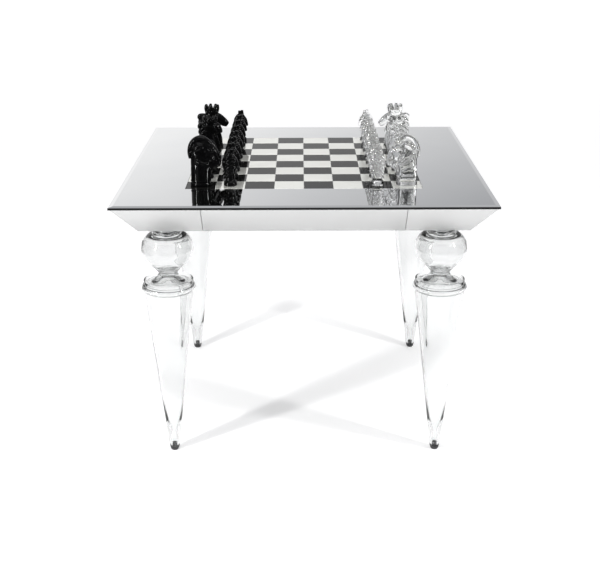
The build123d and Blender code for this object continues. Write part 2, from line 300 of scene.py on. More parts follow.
build_sky()
build_floor()
card_x = 1.5
card_front, card_back = -1.2, 1.6
for hand, x, leg_grey in (("left", -card_x, 0.24), ("right", card_x, 0.34)):
    near, far = (x, card_front), (x, card_back)
    build_flag("flag_low_" + hand, near, far, (0.0, 0.6), leg_grey)
    build_flag("flag_high_" + hand, near, far, (0.6, 1.08), 0.02)
    build_flag("flag_top_" + hand, near, far, (1.08, 1.9), 0.0, mirrored=False)
front_left, front_right = (-1.1, -1.6), (1.1, -1.6)
build_flag("flag_front_top", front_left, front_right, (1.0, 2.2), 0.0, mirrored=False)
build_flag("flag_front", front_left, front_right, (0.2, 1.0), 0.03, seen_through=False)
table_middle = (0, 0, board_z)
build_lamp("overhead", (0, -0.4, 3.4), table_middle, (2.6, 2.6), 36)
build_lamp("strip_left", (-2.4, -2.2, 1.7), table_middle, (0.12, 1.8), 80)
build_lamp("strip_right", (2.6, -1.6, 1.9), table_middle, (0.12, 1.6), 52)

# %% [markdown]
# Now the finishes. Each one is a small function that sets the even values on the shader
# itself, and lets noise vary only the colour, the roughness or a fine bump. Silvered
# glass is a metal under glass: full metallic, almost no roughness, and faint smears.

# %% Mirror finishes
def paint_mirror_top(kit, main):
    smear = kit.noise(7.0, 4.0)
    kit.feed(main.inputs["Base Color"], kit.tint(smear, (0.80, 0.81, 0.82), (0.86, 0.865, 0.87)))
    kit.feed(main.inputs["Roughness"], 0.015 + 0.03 * smear)
    main.inputs["Metallic"].default_value = 1.0


def paint_mirror_apron(kit, main):
    smear = kit.noise(5.0, 3.0)
    kit.feed(main.inputs["Base Color"], kit.tint(smear, (0.55, 0.552, 0.55), (0.60, 0.602, 0.60)))
    kit.feed(main.inputs["Roughness"], 0.36 + 0.08 * smear)
    main.inputs["Metallic"].default_value = 1.0


mirror_top = finish_named("mirror_top", paint_mirror_top)
mirror_apron = finish_named("mirror_apron", paint_mirror_apron)
print("mirrors:", mirror_top.name, mirror_apron.name)

# %% [markdown]
# The board squares are glass tiles. The dark ones are painted black on the back, so all
# that they send up is the gloss of the glass. The pale ones are half silvered, so they
# are partly a mirror. Neither layer is perfectly even, which soft noise shows.

# %% Tile finishes
def paint_tile(dark, light, silver, gloss):
    def paint(kit, main):
        cloud = kit.noise(38.0, 3.0)
        kit.feed(main.inputs["Base Color"], kit.tint(cloud, dark, light))
        kit.feed(main.inputs["Roughness"], 0.03 + 0.04 * cloud)
        main.inputs["Metallic"].default_value = silver
        main.inputs["Specular IOR Level"].default_value = gloss

    return paint


charcoal = (0.004, 0.004, 0.004), (0.008, 0.008, 0.0075)
cream = (0.90, 0.90, 0.84), (0.94, 0.94, 0.89)
dark_tile = finish_named("charcoal_tile", paint_tile(*charcoal, 0.0, 0.085))
light_tile = finish_named("cream_tile", paint_tile(*cream, 0.6, 0.5))
print("tiles:", dark_tile.name, light_tile.name)

# %% [markdown]
# Clear glass is a shader with full transmission and the index of crown glass. Blown
# glass is slightly wavy, which a broad, faint bump gives. The black pieces are glass so
# dark that no light comes through, so they are a near-black gloss, where only the lamps
# themselves make a mark.

# %% Glass finishes
def paint_clear(wave_scale, wave_depth, clarity, smoke):
    def paint(kit, main):
        depth = kit.tree.nodes.new("ShaderNodeVolumeAbsorption")
        depth.inputs["Color"].default_value = (0.0, 0.04, 0.03, 1)
        depth.inputs["Density"].default_value = smoke
        output = kit.tree.nodes["Material Output"]
        kit.tree.links.new(depth.outputs[0], output.inputs["Volume"])
        main.inputs["Base Color"].default_value = (clarity, clarity + 0.003, clarity + 0.002, 1)
        main.inputs["Transmission Weight"].default_value = 1.0
        main.inputs["IOR"].default_value = 1.5
        wave = kit.noise(wave_scale, 1.0)
        kit.feed(main.inputs["Roughness"], 0.004 + 0.01 * wave)
        kit.feed(main.inputs["Normal"], kit.bump(wave, 0.25, wave_depth))

    return paint


def paint_black_glass(kit, main):
    cloud = kit.noise(60.0, 3.0)
    kit.feed(main.inputs["Base Color"], kit.tint(cloud, (0.001, 0.001, 0.0011), (0.003, 0.003, 0.0032)))
    kit.feed(main.inputs["Roughness"], 0.02 + 0.03 * cloud)
    main.inputs["Specular IOR Level"].default_value = 0.1


leg_glass = finish_named("leg_glass", paint_clear(9.0, 0.0015, 0.955, 6.0))
piece_glass = finish_named("piece_glass", paint_clear(70.0, 0.0002, 0.995, 0.5))
black_glass = finish_named("black_glass", paint_black_glass)
print("glass:", leg_glass.name, piece_glass.name, black_glass.name)

# %% [markdown]
# The rest is joinery: lacquered boards, white inside and grey beneath, felt in the drawer,
# zinc-plated rails, a chromed collar on each leg and a dark cap under it. The grey beneath
# is partly painted shade: the board is darkened for the shade under the table, which the
# glass bulbs show as a grey band.

# %% Joinery finishes
def paint_lacquer(dark, light):
    def paint(kit, main):
        grain = kit.noise(22.0, 4.0, (1, 9, 9))
        kit.feed(main.inputs["Base Color"], kit.tint(grain, dark, light))
        kit.feed(main.inputs["Roughness"], 0.32 + 0.12 * grain)
        kit.feed(main.inputs["Normal"], kit.bump(grain, 0.15, 0.0004))

    return paint


def paint_felt(kit, main):
    fibre = kit.noise(900.0, 4.0)
    kit.feed(main.inputs["Base Color"], kit.tint(fibre, (0.03, 0.03, 0.034), (0.09, 0.09, 0.1)))
    kit.feed(main.inputs["Normal"], kit.bump(fibre, 0.6, 0.0006))
    main.inputs["Roughness"].default_value = 0.95
    main.inputs["Sheen Weight"].default_value = 0.4


def paint_metal(colour, low, spread, grain_stretch):
    def paint(kit, main):
        grain = kit.noise(160.0, 3.0, grain_stretch)
        dark = tuple(0.86 * channel for channel in colour)
        kit.feed(main.inputs["Base Color"], kit.tint(grain, dark, colour))
        kit.feed(main.inputs["Roughness"], low + spread * grain)
        main.inputs["Metallic"].default_value = 1.0

    return paint


def paint_rubber(kit, main):
    dust = kit.noise(240.0, 4.0)
    kit.feed(main.inputs["Base Color"], kit.tint(dust, (0.018, 0.018, 0.019), (0.05, 0.05, 0.052)))
    kit.feed(main.inputs["Roughness"], 0.45 + 0.3 * dust)
    kit.feed(main.inputs["Normal"], kit.bump(dust, 0.3, 0.0003))


# The board under the table is grey partly as painted shade, standing in for the shade beneath the table.
grey_lacquer_and_shade = finish_named("grey_lacquer_and_shade", paint_lacquer((0.22, 0.22, 0.22), (0.28, 0.28, 0.275)))
white_lacquer = finish_named("white_lacquer", paint_lacquer((0.66, 0.655, 0.64), (0.74, 0.735, 0.72)))
drawer_wood = finish_named("drawer_wood", paint_lacquer((0.50, 0.47, 0.42), (0.62, 0.59, 0.53)))
felt = finish_named("felt", paint_felt)
rail_zinc = finish_named("rail_zinc", paint_metal((0.66, 0.67, 0.69), 0.28, 0.2, (1, 0.05, 1)))
leg_chrome = finish_named("leg_chrome", paint_metal((0.88, 0.885, 0.89), 0.04, 0.05, (1, 1, 1)))
rubber = finish_named("rubber", paint_rubber)
print("joinery finishes:", len(bpy.data.materials), "materials so far")

# %% [markdown]
# CAD nodes whose shape is already right stay as they are, and only take a finish: the
# top, the drawer's sides, back and bottom, and all the hidden joinery.

# %% Dress the CAD nodes
node_finish = {
    "top_mirror": mirror_top,
    "sub_top": white_lacquer,
    "base_panel": grey_lacquer_and_shade,
    "leg_blocks": white_lacquer,
    "drawer_sides": drawer_wood,
    "drawer_back": drawer_wood,
    "drawer_bottom": drawer_wood,
    "drawer_liner": felt,
    "drawer_runners": rail_zinc,
    "drawer_guides": rail_zinc,
}


def dress(node_name, material):
    mesh = frame["nodes"][node_name].data
    mesh.materials.clear()
    mesh.materials.append(material)


for node_name, material in node_finish.items():
    dress(node_name, material)
print("dressed", len(node_finish), "CAD nodes")

# %% [markdown]
# The board is 64 loose tiles, 32 of each colour. What repeats on a grid is a job for
# Geometry Nodes: a grid of points, the wrong colour deleted by the parity of its row and
# column, and one chamfered tile set on each point. The chamfer is small, but it catches
# the light along every joint. The small kit here makes such trees.

# %% A kit for Geometry Nodes
class Tree:
    """A Geometry Nodes tree with named inputs, whose result becomes a plain mesh."""

    def __init__(self, name, inputs):
        self.group = bpy.data.node_groups.new(name, "GeometryNodeTree")
        face = self.group.interface
        face.new_socket("Geometry", in_out="INPUT", socket_type="NodeSocketGeometry")
        for label, kind in inputs.items():
            face.new_socket(label, in_out="INPUT", socket_type=kind)
        face.new_socket("Geometry", in_out="OUTPUT", socket_type="NodeSocketGeometry")
        self.source = self.group.nodes.new("NodeGroupInput")

    def given(self, label):
        return self.source.outputs[label]

    def node(self, kind, settings=None, inputs=None):
        made = self.group.nodes.new(kind)
        for name, value in (settings or {}).items():
            setattr(made, name, value)
        for key, value in (inputs or {}).items():
            if isinstance(value, bpy.types.NodeSocket):
                self.group.links.new(value, made.inputs[key])
            else:
                made.inputs[key].default_value = value
        return made

    def math(self, operation, first, second):
        return self.node("ShaderNodeMath", {"operation": operation}, {0: first, 1: second}).outputs[0]

    def finish(self, geometry):
        """End in Realize Instances and Set Material."""
        real = self.node("GeometryNodeRealizeInstances", None, {0: geometry}).outputs[0]
        painted = self.node(
            "GeometryNodeSetMaterial", None, {"Geometry": real, "Material": self.given("Material")}
        ).outputs[0]
        sink = self.group.nodes.new("NodeGroupOutput")
        self.group.links.new(painted, sink.inputs[0])

    def run(self, carrier_data, values):
        """Run the tree on some data, and return the mesh that it makes."""
        carrier = bpy.data.objects.new("carrier", carrier_data)
        bpy.context.scene.collection.objects.link(carrier)
        modifier = carrier.modifiers.new("nodes", "NODES")
        modifier.node_group = self.group
        for item in self.group.interface.items_tree:
            if item.in_out == "INPUT" and item.name in values:
                modifier[item.identifier] = values[item.name]
        graph = bpy.context.evaluated_depsgraph_get()
        mesh = bpy.data.meshes.new_from_object(carrier.evaluated_get(graph), depsgraph=graph)
        carrier.modifiers.clear()
        bpy.data.objects.remove(carrier)
        return mesh


def show(name, mesh, body, nodes):
    """Put a finished mesh in the scene as a named piece that stands for CAD nodes."""
    piece = bpy.data.objects.new(name, mesh)
    bpy.context.scene.collection.objects.link(piece)
    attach(piece, body)
    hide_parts(*nodes)
    return piece


print("geometry kit ready")

# %% [markdown]
# The apron boards and the drawer's front are the CAD shapes, but a real board's edge is
# never knife sharp. A copy of each gets its edges eased by a small bevel, which darkens
# the seams beside the drawer and draws a fine line of light along the lower edge.

# %% Ease the apron's edges
def eased(node_name, width):
    """A copy of a CAD node's mesh with its sharp edges bevelled."""
    form = bmesh.new()
    form.from_mesh(frame["nodes"][node_name].data)
    bmesh.ops.remove_doubles(form, verts=form.verts, dist=0.01 * MM)
    bmesh.ops.dissolve_limit(form, angle_limit=math.radians(1), verts=form.verts, edges=form.edges)
    sharp = [e for e in form.edges if len(e.link_faces) == 2 and e.calc_face_angle() > math.radians(20)]
    bmesh.ops.bevel(form, geom=sharp, offset=width, segments=2, profile=0.5, affect="EDGES")
    mesh = bpy.data.meshes.new(node_name + "_eased")
    form.to_mesh(mesh)
    form.free()
    mesh.materials.append(mirror_apron)
    mesh.shade_smooth()
    mesh.set_sharp_from_angle(angle=math.radians(50))
    return mesh


apron_nodes = ("apron_left", "apron_right", "apron_back", "apron_front_left", "apron_front_right")
for node_name in apron_nodes + ("drawer_front",):
    body = "drawer" if node_name == "drawer_front" else "table"
    board = eased(node_name, 0.7 * MM)
    show(node_name + "_board", board, body, [node_name])
    print(node_name, len(board.polygons), "faces")

# %% [markdown]
# The board's size and the tile's thickness come from the CAD box of the dark squares,
# so the tiles fit their recess. Both colours are the same tree, run twice with the
# other parity.

# %% Lay the tiles
squares = 8
tile_joint = 0.4 * MM
tile_low, tile_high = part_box("dark_squares")
board_side = tile_high.x - tile_low.x + tile_joint
square = board_side / squares
tile_chamfer = 0.5 * MM


def build_tile_tree():
    tree = Tree(
        "tiles",
        {
            "Square": "NodeSocketFloat",
            "Gap": "NodeSocketFloat",
            "Chamfer": "NodeSocketFloat",
            "Thickness": "NodeSocketFloat",
            "Top": "NodeSocketFloat",
            "Parity": "NodeSocketInt",
            "Material": "NodeSocketMaterial",
        },
    )
    span = tree.math("MULTIPLY", tree.given("Square"), squares - 1)
    grid = tree.node(
        "GeometryNodeMeshGrid", None,
        {"Size X": span, "Size Y": span, "Vertices X": squares, "Vertices Y": squares},
    ).outputs["Mesh"]
    index = tree.node("GeometryNodeInputIndex").outputs[0]
    column = tree.math("FLOOR", tree.math("DIVIDE", index, squares), 0.0)
    row = tree.math("MODULO", index, squares)
    parity = tree.math("MODULO", tree.math("ADD", column, row), 2)
    other = tree.math("COMPARE", parity, tree.given("Parity"))
    wrong = tree.math("LESS_THAN", other, 0.5)
    points = tree.node(
        "GeometryNodeDeleteGeometry", {"domain": "POINT"}, {"Geometry": grid, "Selection": wrong}
    ).outputs[0]
    tile_side = tree.math("SUBTRACT", tree.given("Square"), tree.given("Gap"))
    body_height = tree.math("SUBTRACT", tree.given("Thickness"), tree.given("Chamfer"))
    extent = {"X": tile_side, "Y": tile_side, "Z": body_height}
    size = tree.node("ShaderNodeCombineXYZ", None, extent).outputs[0]
    block = tree.node("GeometryNodeMeshCube", None, {"Size": size}).outputs["Mesh"]
    normal = tree.node("GeometryNodeInputNormal").outputs[0]
    up = tree.node("ShaderNodeSeparateXYZ", None, {0: normal}).outputs["Z"]
    is_top = tree.math("GREATER_THAN", up, 0.5)
    raised = tree.node(
        "GeometryNodeExtrudeMesh", {"mode": "FACES"},
        {"Mesh": block, "Selection": is_top, "Offset Scale": tree.given("Chamfer")},
    )
    inner_side = tree.math("SUBTRACT", tile_side, tree.math("MULTIPLY", tree.given("Chamfer"), 2.0))
    shrink = tree.math("DIVIDE", inner_side, tile_side)
    tile = tree.node(
        "GeometryNodeScaleElements", None,
        {"Geometry": raised.outputs["Mesh"], "Selection": raised.outputs["Top"], "Scale": shrink},
    ).outputs[0]
    placed = tree.node("GeometryNodeInstanceOnPoints", None, {"Points": points, "Instance": tile}).outputs[0]
    middle_drop = tree.math("ADD", tree.math("MULTIPLY", body_height, 0.5), tree.given("Chamfer"))
    level = tree.math("SUBTRACT", tree.given("Top"), middle_drop)
    lift = tree.node("ShaderNodeCombineXYZ", None, {"Z": level}).outputs[0]
    moved = {"Geometry": placed, "Translation": lift}
    tree.finish(tree.node("GeometryNodeTransform", None, moved).outputs[0])
    return tree


tile_tree = build_tile_tree()
for node_name, parity, material, slot in (
    ("dark_squares", 0, dark_tile, "dark_tile"),
    ("light_squares", 1, light_tile, "light_tile"),
):
    tile_values = {
        "Square": square,
        "Gap": tile_joint,
        "Chamfer": tile_chamfer,
        "Thickness": tile_high.z - tile_low.z,
        "Top": tile_high.z,
        "Parity": parity,
        "Material": material,
    }
    tile_mesh = tile_tree.run(bpy.data.meshes.new("empty"), tile_values)
    tile_mesh.name = node_name
    show("tiles_" + node_name, tile_mesh, "table", [node_name])
    print(node_name, len(tile_mesh.polygons), "faces")

# %% [markdown]
# A leg is one blown shape: a bulb, a neck, a round shoulder and a long cone down to a
# small foot. It is hollow. The bulb's crown is thick and the neck is solid, and both bend
# the light into dark bands, as does the metal plug in the crown. A glassblower turns it, so
# a lathe is the way to make it: one outline, from the bulb's floor up inside the wall,
# over the rim, down the outside and back up inside the cone, turned about the axis.
# The outline is a smooth curve through a few points, so that the glass has no flats.

# %% A lathe
def smooth_path(points, per_span):
    """Points along a smooth curve through the given points (a Catmull-Rom curve)."""
    knots = np.array(points, float)
    ends = np.vstack([2 * knots[0] - knots[1], knots, 2 * knots[-1] - knots[-2]])
    path = []
    for before, start, stop, after in zip(ends, ends[1:], ends[2:], ends[3:]):
        for t in np.arange(per_span) / per_span:
            straight = 2 * start + (stop - before) * t
            bend = (2 * before - 5 * start + 4 * stop - after) * t ** 2
            twist = (3 * start - before - 3 * stop + after) * t ** 3
            path.append(0.5 * (straight + bend + twist))
    path.append(knots[-1])
    return np.array(path)


def lathe(outline, centre, segments):
    """Turn an outline of (radius, height) points, whose ends are on the axis, into a mesh."""
    rings = [(radius, height) for radius, height in outline[1:-1]]
    turns = [2 * math.pi * k / segments for k in range(segments)]
    x, y = centre
    points = [(x + r * math.cos(a), y + r * math.sin(a), z) for r, z in rings for a in turns]
    faces = []
    for ring in range(len(rings) - 1):
        for k in range(segments):
            after = (k + 1) % segments
            low, high = ring * segments, (ring + 1) * segments
            faces.append((low + k, low + after, high + after, high + k))
    for (radius, height), ring in ((outline[0], 0), (outline[-1], len(rings) - 1)):
        points.append((x, y, height))
        pole = len(points) - 1
        start = ring * segments
        faces += [(pole, start + (k + 1) % segments, start + k) for k in range(segments)]
    mesh = bpy.data.meshes.new("lathe")
    mesh.from_pydata(points, [], faces)
    return turn_outwards(mesh)


def turn_outwards(mesh, sharp=35.0):
    """Point every face outwards, and shade it smooth but for its sharp edges."""
    form = bmesh.new()
    form.from_mesh(mesh)
    bmesh.ops.recalc_face_normals(form, faces=form.faces)
    form.to_mesh(mesh)
    form.free()
    mesh.shade_smooth()
    mesh.set_sharp_from_angle(angle=math.radians(sharp))
    return mesh


print("lathe ready")

# %% Blow the legs
leg_names = ("front_left", "front_right", "back_left", "back_right")
bulb_low, bulb_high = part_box("leg_bulb_front_left")
mount_low, mount_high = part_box("leg_mounts")
cone_low, cone_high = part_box("leg_cone_front_left")
collar_top = bulb_high.z
neck_z = cone_high.z
tip_z = cone_low.z
bulb_radius = (bulb_high.x - bulb_low.x) / 2
shoulder_radius = (cone_high.x - cone_low.x) / 2
collar_radius = 36 * MM
neck_radius = 26 * MM
tip_radius = 14 * MM
bore_radius = 7 * MM
wall = 4 * MM
plug = 10 * MM
lip_drop = 6 * MM
lip_start = 11 * MM


def leg_outline():
    """The outline of one leg: inside the bulb, over the rim, outside, inside the cone."""
    reach = collar_top - neck_z
    belly = bulb_radius - neck_radius
    waist = shoulder_radius - neck_radius

    def bulb(inset, low):
        """The bulb, from its bottom up to the collar; inset is how far inside the skin."""
        shares = [
            (0.19, 0.085), (0.46, 0.18), (0.82, 0.31), (0.99, 0.46), (1.0, 0.56), (0.93, 0.68), (0.68, 0.80),
        ]
        body = [(neck_radius + belly * out - inset, neck_z + reach * up) for out, up in shares]
        if inset:
            crown = [
                (0.87 * bulb_radius, neck_z + 0.70 * reach),
                (0.68 * bulb_radius, neck_z + 0.785 * reach),
            ]
            body = body[:5] + crown
            lip = [(collar_radius - inset, mount_low.z), (collar_radius - inset, collar_top - lip_drop)]
        else:
            lip = [(collar_radius, collar_top - lip_start), (collar_radius, collar_top - lip_drop)]
        return [point for point in body if point[1] > low] + lip

    shoulder = [
        (0.1, 0.075), (0.38, 0.165), (0.72, 0.205), (0.91, 0.24), (1.0, 0.30), (0.96, 0.345), (0.86, 0.385),
    ]
    skin = [(neck_radius + waist * out, neck_z - reach * down) for out, down in shoulder]
    cone_radius, cone_top = skin[-1]
    slope = (cone_radius - tip_radius) / (cone_top - tip_z)
    low_end = tip_z + 6 * tip_radius
    low_radius = tip_radius + slope * (low_end - tip_z) - wall
    ceiling = neck_z - 0.065 * reach
    inner_shoulder = (
        (0.96, 0.34), (0.98, 0.3), (0.93, 0.272), (0.78, 0.24), (0.58, 0.215), (0.4, 0.17), (0.22, 0.1),
    )
    hollow = [(low_radius, low_end), (cone_radius - wall, cone_top)] + [
        (out * shoulder_radius - wall, neck_z - down * reach) for out, down in inner_shoulder
    ]
    floor = neck_z + plug
    dish = [(0.2 * neck_radius, floor), (0.62 * neck_radius, floor + 1 * MM)]
    inside = smooth_path(dish + bulb(wall, floor), 8)
    outside = smooth_path(bulb(0.0, 0.0)[::-1] + [(neck_radius, neck_z)] + skin, 8)
    bore = [(tip_radius, tip_z), (bore_radius, tip_z), (bore_radius, tip_z + 4 * tip_radius)]
    outline = [(0.0, floor), *inside, (collar_radius - wall, collar_top), (collar_radius, collar_top)]
    return outline + [*outside, *bore, *smooth_path(hollow, 6), (0.0, ceiling)]


def leg_centre(place):
    low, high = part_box("leg_bulb_" + place)
    return (low.x + high.x) / 2, (low.y + high.y) / 2


for place in leg_names:
    leg_mesh = lathe(leg_outline(), leg_centre(place), 96)
    leg_mesh.materials.append(leg_glass)
    stands_for = ["leg_bulb_" + place, "leg_cone_" + place]
    show("blown_leg_" + place, leg_mesh, "table", stands_for)
print("legs:", len(leg_mesh.polygons), "faces each")

# %% [markdown]
# Where a leg meets the table is a turned metal mount: a round flange against the
# underside and a plug down into the bulb's collar. At the other end a rounded dark cap
# saves the floor from the glass. Both are lathe work again, one outline each, and the
# four copies are joined so that each stands for its one CAD node.

# %% Turn the mounts and the caps
def joined(meshes, material):
    """One mesh out of several."""
    form = bmesh.new()
    for mesh in meshes:
        form.from_mesh(mesh)
    whole = bpy.data.meshes.new("joined")
    form.to_mesh(whole)
    form.free()
    whole.materials.append(material)
    whole.shade_smooth()
    whole.set_sharp_from_angle(angle=math.radians(35))
    return whole


foot_low, foot_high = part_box("leg_feet")
flange_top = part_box("base_panel")[0].z
flange_radius = 37 * MM
spigot_inset = 5.3 * MM
spigot_radius = collar_radius - spigot_inset
stud_radius = 6 * MM
edge = 0.8 * MM
mount_outline = [
    (0.0, mount_low.z),
    (spigot_radius - edge, mount_low.z),
    (spigot_radius, mount_low.z + edge),
    (spigot_radius, collar_top),
    (flange_radius - edge, collar_top),
    (flange_radius, collar_top + edge),
    (flange_radius, flange_top),
    (stud_radius, flange_top),
    (stud_radius, mount_high.z - edge),
    (stud_radius - edge, mount_high.z),
    (0.0, mount_high.z),
]
cap_radius = 13 * MM
cap_fill = 0.98
arc_from, arc_to = 44, 90
cap_round = [
    (cap_radius * math.sin(a), tip_z * (1 - math.cos(a)) * cap_fill)
    for a in np.radians(np.linspace(arc_from, arc_to, 9))
]
cap_outline = [(0.0, foot_low.z), (cap_radius * 0.55, foot_low.z)] + [
    (radius, max(height - cap_round[0][1], 0.0) * tip_z / (tip_z * cap_fill - cap_round[0][1]))
    for radius, height in cap_round
] + [
    (cap_radius, tip_z),
    (bore_radius, tip_z),
    (bore_radius, foot_high.z - edge),
    (bore_radius - edge, foot_high.z),
    (0.0, foot_high.z),
]
centres = [leg_centre(place) for place in leg_names]
mounts = joined([lathe(mount_outline, centre, 64) for centre in centres], leg_chrome)
caps = joined([lathe(cap_outline, centre, 48) for centre in centres], rubber)
show("turned_mounts", mounts, "table", ["leg_mounts"])
show("foot_caps", caps, "table", ["leg_feet"])
print("mounts", len(mounts.polygons), "faces, caps", len(caps.polygons), "faces")

# %% [markdown]
# Every chess piece is a horse's head in solid glass. A glassmaker would model one in wax
# and cast it, and the same way works here: soft lumps and rolls are laid over each other,
# fused into one skin by a voxel remesh, and rubbed smooth. A roll is a tube swept along a
# smooth path with its own thickness in the plane and across it. A lump is an ellipsoid.
# Each sculpture is made once, in millimetres, at the origin and looking along +X.

# %% Wax to sculpt with
def ring_of(centre, normal, across, inside, width, count):
    """A ring of points about a centre: inside is its half size along normal."""
    turns = np.linspace(0, 2 * math.pi, count, endpoint=False)
    return [centre + normal * inside * math.cos(a) + across * width * math.sin(a) for a in turns]


def roll(points, sizes, count=20, per_span=5):
    """A closed tube along a smooth path; sizes are half sizes in the XZ plane and across."""
    path = smooth_path(points, per_span)
    size = smooth_path(sizes, per_span)
    tangents = np.gradient(path, axis=0)
    verts, faces = [], []
    for centre, tangent, (inside, width) in zip(path, tangents, size):
        tangent = tangent / np.linalg.norm(tangent)
        across = np.array([0.0, 1.0, 0.0]) - tangent * tangent[1]
        across /= np.linalg.norm(across)
        normal = np.cross(across, tangent)
        verts += ring_of(centre, normal, across, max(inside, 0.4), max(width, 0.4), count)
    for ring in range(len(path) - 1):
        for k in range(count):
            after = (k + 1) % count
            a, b = ring * count, (ring + 1) * count
            faces.append((a + k, a + after, b + after, b + k))
    faces.append(tuple(reversed(range(count))))
    faces.append(tuple(range(len(verts) - count, len(verts))))
    return [tuple(v) for v in verts], faces


def lump(centre, sizes, tilt=0.0):
    """An ellipsoid, turned about Y by tilt degrees."""
    form = bmesh.new()
    bmesh.ops.create_uvsphere(form, u_segments=24, v_segments=14, radius=1.0)
    turn = Matrix.Rotation(math.radians(tilt), 4, "Y")
    move = Matrix.Translation(centre) @ turn @ Matrix.Diagonal((*sizes, 1))
    bmesh.ops.transform(form, matrix=move, verts=form.verts)
    form.verts.index_update()
    data = [tuple(v.co) for v in form.verts], [tuple(v.index for v in f.verts) for f in form.faces]
    form.free()
    return data


def foot(radius_x, radius_y, height, neck_x, neck_y, top):
    """The stepped glass foot of a piece: a low drum and a cove up into the neck."""
    outline = [
        (0.93, 0.0), (1.0, 1.2), (1.0, height * 0.55), (0.95, height * 0.75), (0.9, height * 0.85),
    ]
    rings = [(radius_x * k, radius_y * k, z) for k, z in outline]
    rings += [(neck_x + 1.5, neck_y + 1.5, height + 1), (neck_x, neck_y, height + 5), (neck_x, neck_y, top)]
    count = 40
    verts, faces = [], []
    for half_x, half_y, z in rings:
        for a in np.linspace(0, 2 * math.pi, count, endpoint=False):
            verts.append((half_x * math.cos(a), half_y * math.sin(a), z))
    for ring in range(len(rings) - 1):
        for k in range(count):
            after = (k + 1) % count
            a, b = ring * count, (ring + 1) * count
            faces.append((a + k, a + after, b + after, b + k))
    faces.append(tuple(reversed(range(count))))
    faces.append(tuple(range(len(verts) - count, len(verts))))
    return verts, faces


def pressed(waxes):
    """All the wax in one mesh, in metres, with every lump closed and facing out."""
    form = bmesh.new()
    for verts, faces in waxes:
        made = [form.verts.new(Vector(v) * MM) for v in verts]
        for face in faces:
            form.faces.new([made[i] for i in face])
    bmesh.ops.recalc_face_normals(form, faces=form.faces)
    mesh = bpy.data.meshes.new("wax")
    form.to_mesh(mesh)
    form.free()
    return mesh


def fused(name, waxes, extra=(), voxel=1.1, rub=4, faces=14000):
    """Fuse wax into one smooth skin; extra is any mesh in metres to fuse with it."""
    mesh = pressed(waxes)
    if extra:
        form = bmesh.new()
        form.from_mesh(mesh)
        for more in extra:
            form.from_mesh(more)
        form.to_mesh(mesh)
        form.free()
    block = bpy.data.objects.new(name, mesh)
    bpy.context.scene.collection.objects.link(block)
    remesh = block.modifiers.new("fuse", "REMESH")
    remesh.mode = "VOXEL"
    remesh.voxel_size = voxel * MM
    smooth = block.modifiers.new("rub", "SMOOTH")
    smooth.factor = 0.5
    smooth.iterations = rub
    graph = bpy.context.evaluated_depsgraph_get()
    dense = len(block.evaluated_get(graph).data.polygons) * 2
    thin = block.modifiers.new("thin", "DECIMATE")
    thin.ratio = min(1.0, faces / dense)
    graph = bpy.context.evaluated_depsgraph_get()
    skin = bpy.data.meshes.new_from_object(block.evaluated_get(graph), depsgraph=graph)
    skin.name = name
    bpy.data.objects.remove(block)
    skin.shade_smooth()
    print(name, len(skin.polygons), "faces")
    return skin


# %% [markdown]
# A combed mane repeats: it is a row of locks down the crest. One Geometry Nodes tree makes
# it: a curve is resampled to a number of points, and a tapered lock is set on each,
# pointing out from the curve with a little random turn.
# The seed is fixed, so that every run gives the same mane.

# %% Locks along a path
def build_lock_tree():
    tree = Tree(
        "locks",
        {
            "Count": "NodeSocketInt",
            "Length": "NodeSocketFloat",
            "Thickness": "NodeSocketFloat",
            "Tip": "NodeSocketFloat",
            "Lean": "NodeSocketFloat",
            "Spread": "NodeSocketFloat",
            "Seed": "NodeSocketInt",
            "Material": "NodeSocketMaterial",
        },
    )
    row = tree.node(
        "GeometryNodeResampleCurve", None, {"Curve": tree.source.outputs[0], "Count": tree.given("Count")}
    ).outputs[0]
    points = tree.node(
        "GeometryNodeCurveToPoints", {"mode": "EVALUATED"}, {"Curve": row}
    )
    lock = tree.node(
        "GeometryNodeMeshCone", None,
        {
            "Vertices": 14,
            "Side Segments": 3,
            "Radius Top": tree.given("Tip"),
            "Radius Bottom": tree.given("Thickness"),
            "Depth": tree.given("Length"),
        },
    ).outputs["Mesh"]
    lean = tree.given("Lean")
    spread = tree.given("Spread")
    low = tree.math("SUBTRACT", lean, spread)
    high = tree.math("ADD", lean, spread)
    turn = tree.node(
        "FunctionNodeRandomValue", {"data_type": "FLOAT"}, {2: low, 3: high, "Seed": tree.given("Seed")}
    )
    swing = tree.node("ShaderNodeCombineXYZ", None, {"Y": turn.outputs[1]}).outputs[0]
    facing = tree.node(
        "FunctionNodeAlignRotationToVector", {"axis": "Z"}, {"Vector": points.outputs["Normal"]}
    ).outputs[0]
    bent = tree.node(
        "FunctionNodeRotateRotation", {"rotation_space": "LOCAL"}, {"Rotation": facing, "Rotate By": swing}
    ).outputs[0]
    size = tree.node(
        "FunctionNodeRandomValue", {"data_type": "FLOAT"}, {2: 0.85, 3: 1.1, "Seed": tree.given("Seed")}
    ).outputs[1]
    placed = tree.node(
        "GeometryNodeInstanceOnPoints", None,
        {"Points": points.outputs["Points"], "Instance": lock, "Rotation": bent, "Scale": size},
    ).outputs[0]
    tree.finish(placed)
    return tree


lock_tree = build_lock_tree()


def path_curve(points):
    """A poly curve in metres through a smooth path given in millimetres."""
    data = bpy.data.curves.new("path", "CURVE")
    data.dimensions = "3D"
    path = smooth_path(points, 6)
    spline = data.splines.new("POLY")
    spline.points.add(len(path) - 1)
    for target, place in zip(spline.points, path):
        target.co = (*(place * MM), 1.0)
    return data


def locks(points, count, length, thickness, tip=1.2, lean=0.0, spread=0.15, seed=1):
    values = {
        "Count": count,
        "Length": length * MM,
        "Thickness": thickness * MM,
        "Tip": tip * MM,
        "Lean": lean,
        "Spread": spread,
        "Seed": seed,
    }
    return lock_tree.run(path_curve(points), values)


print("locks ready")

# %% [markdown]
# The corner piece is the stoutest: an upright oval pillar, and on it a bowed head whose
# thick crest rises behind, arches over the poll and runs down to the muzzle. Its ears lie
# back against the neck, and a shallow roll along each cheek marks the jaw.

